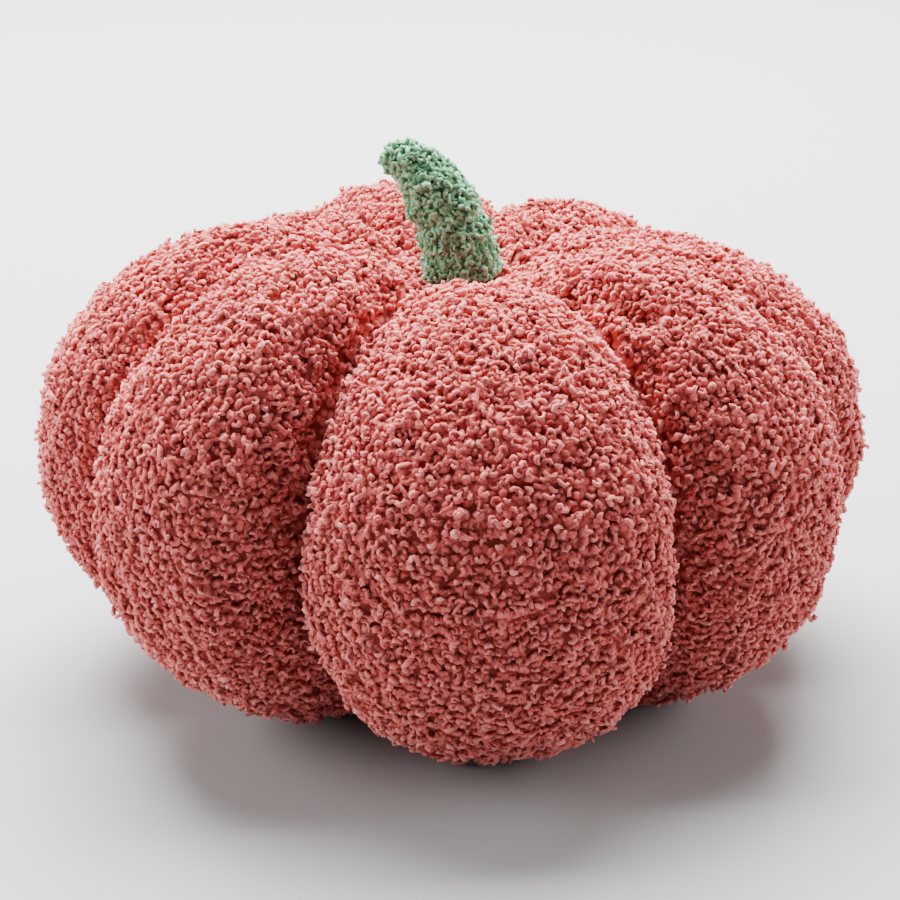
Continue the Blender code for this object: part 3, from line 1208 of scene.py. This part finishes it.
@dataclass
class FilledBody:
    """The pumpkin's body: its cover, settled over the filling, and the pile on each panel.

    Between two seams the curls' density is (sin(pi * across) - seam_bare) / seam_blend, kept
    between seam_least and 1. Past underside_from, from 0 at the top ring to 1 at the bottom
    one, it is multiplied by underside_share.
    """

    form: CushionForm = field(default_factory=CushionForm)
    settling: Settling = Settling()
    unevenness: SoftNoise = SoftNoise(0.013, 3)
    uneven_height: float = 0.0010
    rows: int = 84
    columns: int = 28
    pile_depth: float = 0.0032
    cover_floor: float = 0.0012
    settled_floor: float = 0.0008
    curls: int = 20500
    lumps: int = 21000
    seam_bare: float = 0.10
    seam_blend: float = 0.15
    seam_least: float = 0.08
    underside_from: float = 0.82
    underside_share: float = 0.6
    seed: int = 11

    def stood_rings(self) -> np.ndarray:
        """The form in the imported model's frame, standing on its flattened places.

        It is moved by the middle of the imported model's coarser rings in plan, and down by their
        lowest height plus rest_squash. What would be under the floor is raised to it.

        Returns:
            Points as rings by places by x, y and z.
        """
        rings = self.form.rings(self.rows, self.columns)
        coarse = self.form.rings(CAD_ROWS, CAD_COLUMNS)
        floor = float(coarse[..., 2].min()) + self.form.rest_squash
        low, high = coarse.min(axis=(0, 1)), coarse.max(axis=(0, 1))
        rings = rings - np.array([(low[0] + high[0]) / 2.0, (low[1] + high[1]) / 2.0, floor])
        rings[..., 2] = np.maximum(rings[..., 2], 0.0)
        return rings

    def cover_surface(self) -> SurfaceGrid:
        """The cloth under the pile, before it settles: the form moved in by the pile's depth.

        Returns:
            The surface.
        """
        outer = SurfaceGrid(self.stood_rings())
        inner = outer.moved(-self.pile_depth)
        inner.points[..., 2] = np.maximum(inner.points[..., 2], self.cover_floor)
        return inner

    def curl_weights(self) -> np.ndarray:
        """How densely the curls stand: sparser deep in the sewn channels and underneath.

        Returns:
            A weight for each cell.
        """
        even = (np.arange(self.columns) + 0.5) / self.columns
        swell = np.sin(math.pi * even)
        open_face = np.clip((swell - self.seam_bare) / self.seam_blend, self.seam_least, 1.0)
        down = np.linspace(0.0, 1.0, self.rows - 1)
        underside = np.where(down > self.underside_from, self.underside_share, 1.0)
        return underside[:, None] * np.tile(open_face, len(LOBES))

    def build(self, finish: YarnFinish) -> None:
        """Build the cover and the pile of each panel.

        Args:
            finish: The yarn's finish.
        """
        surface = self.cover_surface()
        uneven = self.unevenness.at(surface.points) * self.uneven_height
        points, quads, triangles = closed_tube(surface.points)
        item = mesh_object("cover", points, quads, triangles)
        settled = surface.points
        rings, sides = settled.shape[:2]
        sewn = self.settling.held_points(rings, sides, np.arange(0, sides, self.columns))
        settled = self.settling.wrinkled(settled, self.settling.simulate(item, sewn))
        grid = SurfaceGrid(settled).moved(uneven)
        grid.points[..., 2] = np.maximum(grid.points[..., 2], self.settled_floor)
        points = closed_tube(grid.points)[0]
        item.data.vertices.foreach_set("co", points.astype(np.float32).ravel())
        item.data.update()
        item.data.materials.append(finish.ground_material())
        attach(item, RIGID_BODY)
        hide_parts(BODY_NODE)
        log.info("cover: %d faces", len(item.data.polygons))
        self.build_pile(grid, finish.pile_material())

    def build_pile(self, grid: SurfaceGrid, material: bpy.types.Material) -> None:
        """Build one piece of pile for each panel between two seams.

        Args:
            grid: The settled cover.
            material: The curls' material.
        """
        weights = self.curl_weights()
        curl_ring, curl_side = EvenSpread(self.curls, self.seed).places(grid, weights)
        lump_ring, lump_side = EvenSpread(self.lumps, self.seed + 1).places(grid, weights)
        for index, lobe in enumerate(LOBES):
            curls = (curl_side // self.columns).astype(int) == index
            lumps = (lump_side // self.columns).astype(int) == index
            curl_stand = Stand.on(grid, curl_ring[curls], curl_side[curls])
            lump_stand = Stand.on(grid, lump_ring[lumps], lump_side[lumps])
            seed = self.seed + index
            parts = (CurlMaker().make(curl_stand, seed), LumpMaker().make(lump_stand, seed))
            Pile(f"pile_{lobe.name}", Slot.PINK, self.pile_depth).build(parts, material)


@dataclass(frozen=True)
class Girth:
    """The stem's outer radius in metres at a place from 0 at its seat to 1 at its tip."""

    along: float
    radius: float


STEM_GIRTHS = (
    Girth(0.00, 0.0170),
    Girth(0.12, 0.0152),
    Girth(0.30, 0.0142),
    Girth(0.50, 0.0134),
    Girth(0.65, 0.0120),
    Girth(0.85, 0.0097),
    Girth(1.00, 0.0080),
)


@dataclass
class Stem:
    """The curved stem: a filled tube sewn into the top hollow, with its own pile."""

    lean: float = 0.0265
    rise: float = 0.0475
    upright_handle: tuple[float, float] = (-0.001, 0.018)
    tip_handle: float = 0.012
    tip_dome: float = 0.004
    unevenness: SoftNoise = SoftNoise(0.012, 9)
    uneven_height: float = 0.0007
    rings: int = 44
    sides: int = 36
    dome_rings: int = 8
    pile_depth: float = 0.0030
    curls: int = 820
    lumps: int = 700
    seed: int = 41

    def middle(self, along: np.ndarray) -> tuple[np.ndarray, np.ndarray]:
        """The stem's middle line, a cubic curve in an upright plane.

        It is the sum of the seat, the two handles and the tip, each times its share
        (1 - t) cubed, 3 t (1 - t) squared, 3 t squared (1 - t) and t cubed.

        Args:
            along: From 0 at the seat to 1 at the tip.

        Returns:
            Places and unit headings, as x and z above the seat.
        """
        tip = (-self.lean, self.rise)
        beside_tip = (self.tip_handle - self.lean, self.rise)
        anchors = np.array([(0.0, 0.0), self.upright_handle, beside_tip, tip])
        t = along[:, None]
        weights = ((1 - t) ** 3, 3 * t * (1 - t) ** 2, 3 * t**2 * (1 - t), t**3)
        slopes = (3 * (1 - t) ** 2, 6 * t * (1 - t), 3 * t**2)
        line = sum(weight * anchor for weight, anchor in zip(weights, anchors))
        heading = sum(weight * step for weight, step in zip(slopes, np.diff(anchors, axis=0)))
        return line, unit(heading)

    def surface(self) -> SurfaceGrid:
        """The stem's cloth: circles carried along the middle line, with a domed tip.

        Each point is the middle plus the radius times (cos(turn) * sideways + sin(turn) *
        front). On the dome the radius follows cos and the rise sin of a quarter turn.

        Returns:
            The surface, moved in by the depth of the pile.
        """
        along = np.linspace(0.0, 1.0, self.rings)
        places = [girth.along for girth in STEM_GIRTHS]
        girths = [girth.radius for girth in STEM_GIRTHS]
        radius = np.interp(along, places, girths) - self.pile_depth
        line, heading = self.middle(along)
        turn = np.linspace(0.0, math.pi / 2.0, self.dome_rings + 2)[1:-1]
        radius = np.concatenate([radius, radius[-1] * np.cos(turn)])
        dome = line[-1] + heading[-1] * (self.tip_dome * np.sin(turn))[:, None]
        line = np.concatenate([line, dome])
        heading = np.concatenate([heading, np.repeat(heading[-1:], self.dome_rings, axis=0)])
        low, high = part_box(STEM_NODE)
        seat = np.array([float(high[0]) - girths[0], float(low[1] + high[1]) / 2.0, float(low[2])])
        round_turn = (-2.0 * math.pi * np.arange(self.sides) / self.sides)[None, :, None]
        flat = np.zeros(len(heading))
        sideways = np.stack([heading[:, 1], flat, -heading[:, 0]], axis=-1)
        front = np.array([0.0, -1.0, 0.0])
        centre = np.stack([line[:, 0], flat, line[:, 1]], axis=-1) + seat
        spoke = np.cos(round_turn) * sideways[:, None] + np.sin(round_turn) * front
        return SurfaceGrid((centre[:, None] + radius[:, None, None] * spoke)[::-1])

    def build(self, finish: YarnFinish) -> None:
        """Build the stem's cover and its pile.

        Args:
            finish: The yarn's finish.
        """
        grid = self.surface()
        grid = grid.moved(self.unevenness.at(grid.points) * self.uneven_height)
        points, quads, triangles = closed_tube(grid.points)
        item = mesh_object("stem_cover", points, quads, triangles)
        item.data.materials.append(finish.ground_material())
        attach(item, RIGID_BODY)
        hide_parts(STEM_NODE)
        log.info("stem_cover: %d faces", len(item.data.polygons))
        everywhere = np.ones((self.rings + self.dome_rings - 1, self.sides))
        curls = Stand.on(grid, *EvenSpread(self.curls, self.seed).places(grid, everywhere))
        lumps = Stand.on(grid, *EvenSpread(self.lumps, self.seed + 1).places(grid, everywhere))
        parts = (CurlMaker().make(curls, self.seed), LumpMaker().make(lumps, self.seed))
        Pile("pile_stem", Slot.GREEN, self.pile_depth).build(parts, finish.pile_material())


@dataclass(frozen=True)
class Lamp:
    """A soft square light: its place, its side in metres and its power in watts."""

    name: str
    place: tuple[float, float, float]
    width: float
    power: float


LAMPS = (
    Lamp("overhead", (-0.15, 1.10, 1.7), 2.0, 400.0),
    Lamp("left", (-1.6, -0.1, 0.7), 1.3, 40.0),
    Lamp("right", (1.6, 0.1, 0.6), 1.3, 26.0),
)


@dataclass
class Studio:
    """A plain pale floor, soft light all round and the camera at the photograph's angle."""

    elevation_deg: float = 21.0
    distance: float = 0.991
    focal_mm: float = 96.04
    sensor_mm: float = 36.0
    nearest: float = 0.01
    farthest: float = 50.0
    aim_shift: tuple[float, float, float] = (-0.0052, 0.0, 0.0018)
    middle: tuple[float, float, float] = (0.0033, -0.0004, 0.0864)
    floor_half: float = 3.0
    floor_grey: float = 0.42
    floor_roughness: float = 0.9
    surround: float = 0.12

    def add_camera(self) -> None:
        """Stand the camera in front of the cushion and make it the scene's."""
        data = bpy.data.cameras.new("camera")
        data.lens, data.sensor_width = self.focal_mm, self.sensor_mm
        data.clip_start, data.clip_end = self.nearest, self.farthest
        camera = bpy.data.objects.new("camera", data)
        tilt = math.radians(self.elevation_deg)
        away = Vector((0.0, -math.cos(tilt), math.sin(tilt))) * self.distance
        camera.location = Vector(self.middle) + away
        aim = Vector(self.middle) + Vector(self.aim_shift)
        camera.rotation_euler = (aim - camera.location).to_track_quat("-Z", "Y").to_euler()
        bpy.context.scene.collection.objects.link(camera)
        bpy.context.scene.camera = camera

    def add_floor(self) -> None:
        """Lay the floor."""
        half = self.floor_half
        corners = [(-half, -half, 0.0), (half, -half, 0.0), (half, half, 0.0), (-half, half, 0.0)]
        no_triangles = np.zeros((0, 3), dtype=int)
        floor = mesh_object("floor", np.array(corners), np.array([[0, 1, 2, 3]]), no_triangles)
        material = bpy.data.materials.new("pale_floor")
        material.use_nodes = True
        shader = material.node_tree.nodes["Principled BSDF"]
        shader.inputs["Base Color"].default_value = (*(self.floor_grey,) * 3, 1.0)
        shader.inputs["Roughness"].default_value = self.floor_roughness
        floor.data.materials.append(material)

    def add_light(self, lamp: Lamp) -> None:
        """Hang a light so that it faces the cushion.

        Args:
            lamp: The light.
        """
        data = bpy.data.lights.new(lamp.name, "AREA")
        data.shape, data.size, data.energy = "SQUARE", lamp.width, lamp.power
        item = bpy.data.objects.new(lamp.name, data)
        item.location = lamp.place
        item.rotation_euler = (Vector(self.middle) - item.location).to_track_quat("-Z", "Y").to_euler()
        bpy.context.scene.collection.objects.link(item)

    def add_world(self) -> None:
        """Surround the scene with even white light."""
        world = bpy.data.worlds.new("surround")
        world.use_nodes = True
        background = world.node_tree.nodes["Background"]
        background.inputs["Color"].default_value = (1.0, 1.0, 1.0, 1.0)
        background.inputs["Strength"].default_value = self.surround
        bpy.context.scene.world = world

    def build(self) -> None:
        """Set up the whole studio."""
        self.add_camera()
        self.add_floor()
        self.add_world()
        for lamp in LAMPS:
            self.add_light(lamp)
        log.info("studio: camera %.0f mm at %.2f m", self.focal_mm, self.distance)


# Each yarn's darkest colours are painted shade: round the ground's knots and at the pile's roots.
PINK_YARN = YarnFinish(
    name="pink_boucle",
    pit_shade=(0.20, 0.014, 0.012),
    ground=(0.52, 0.075, 0.068),
    root=(0.44, 0.045, 0.040),
    middle=(0.70, 0.135, 0.124),
    tip=(0.82, 0.235, 0.220),
    haze=(1.0, 0.72, 0.70),
)
GREEN_YARN = YarnFinish(
    name="green_boucle",
    pit_shade=(0.04, 0.10, 0.05),
    ground=(0.12, 0.28, 0.15),
    root=(0.10, 0.28, 0.13),
    middle=(0.21, 0.50, 0.28),
    tip=(0.33, 0.63, 0.41),
    haze=(0.75, 1.0, 0.82),
)


def main() -> None:
    """Build the studio, the body and the stem."""
    logging.basicConfig(level=logging.INFO, format="%(name)s: %(message)s")
    Studio().build()
    FilledBody().build(PINK_YARN)
    Stem().build(GREEN_YARN)


if __name__ == "__main__":
    main()
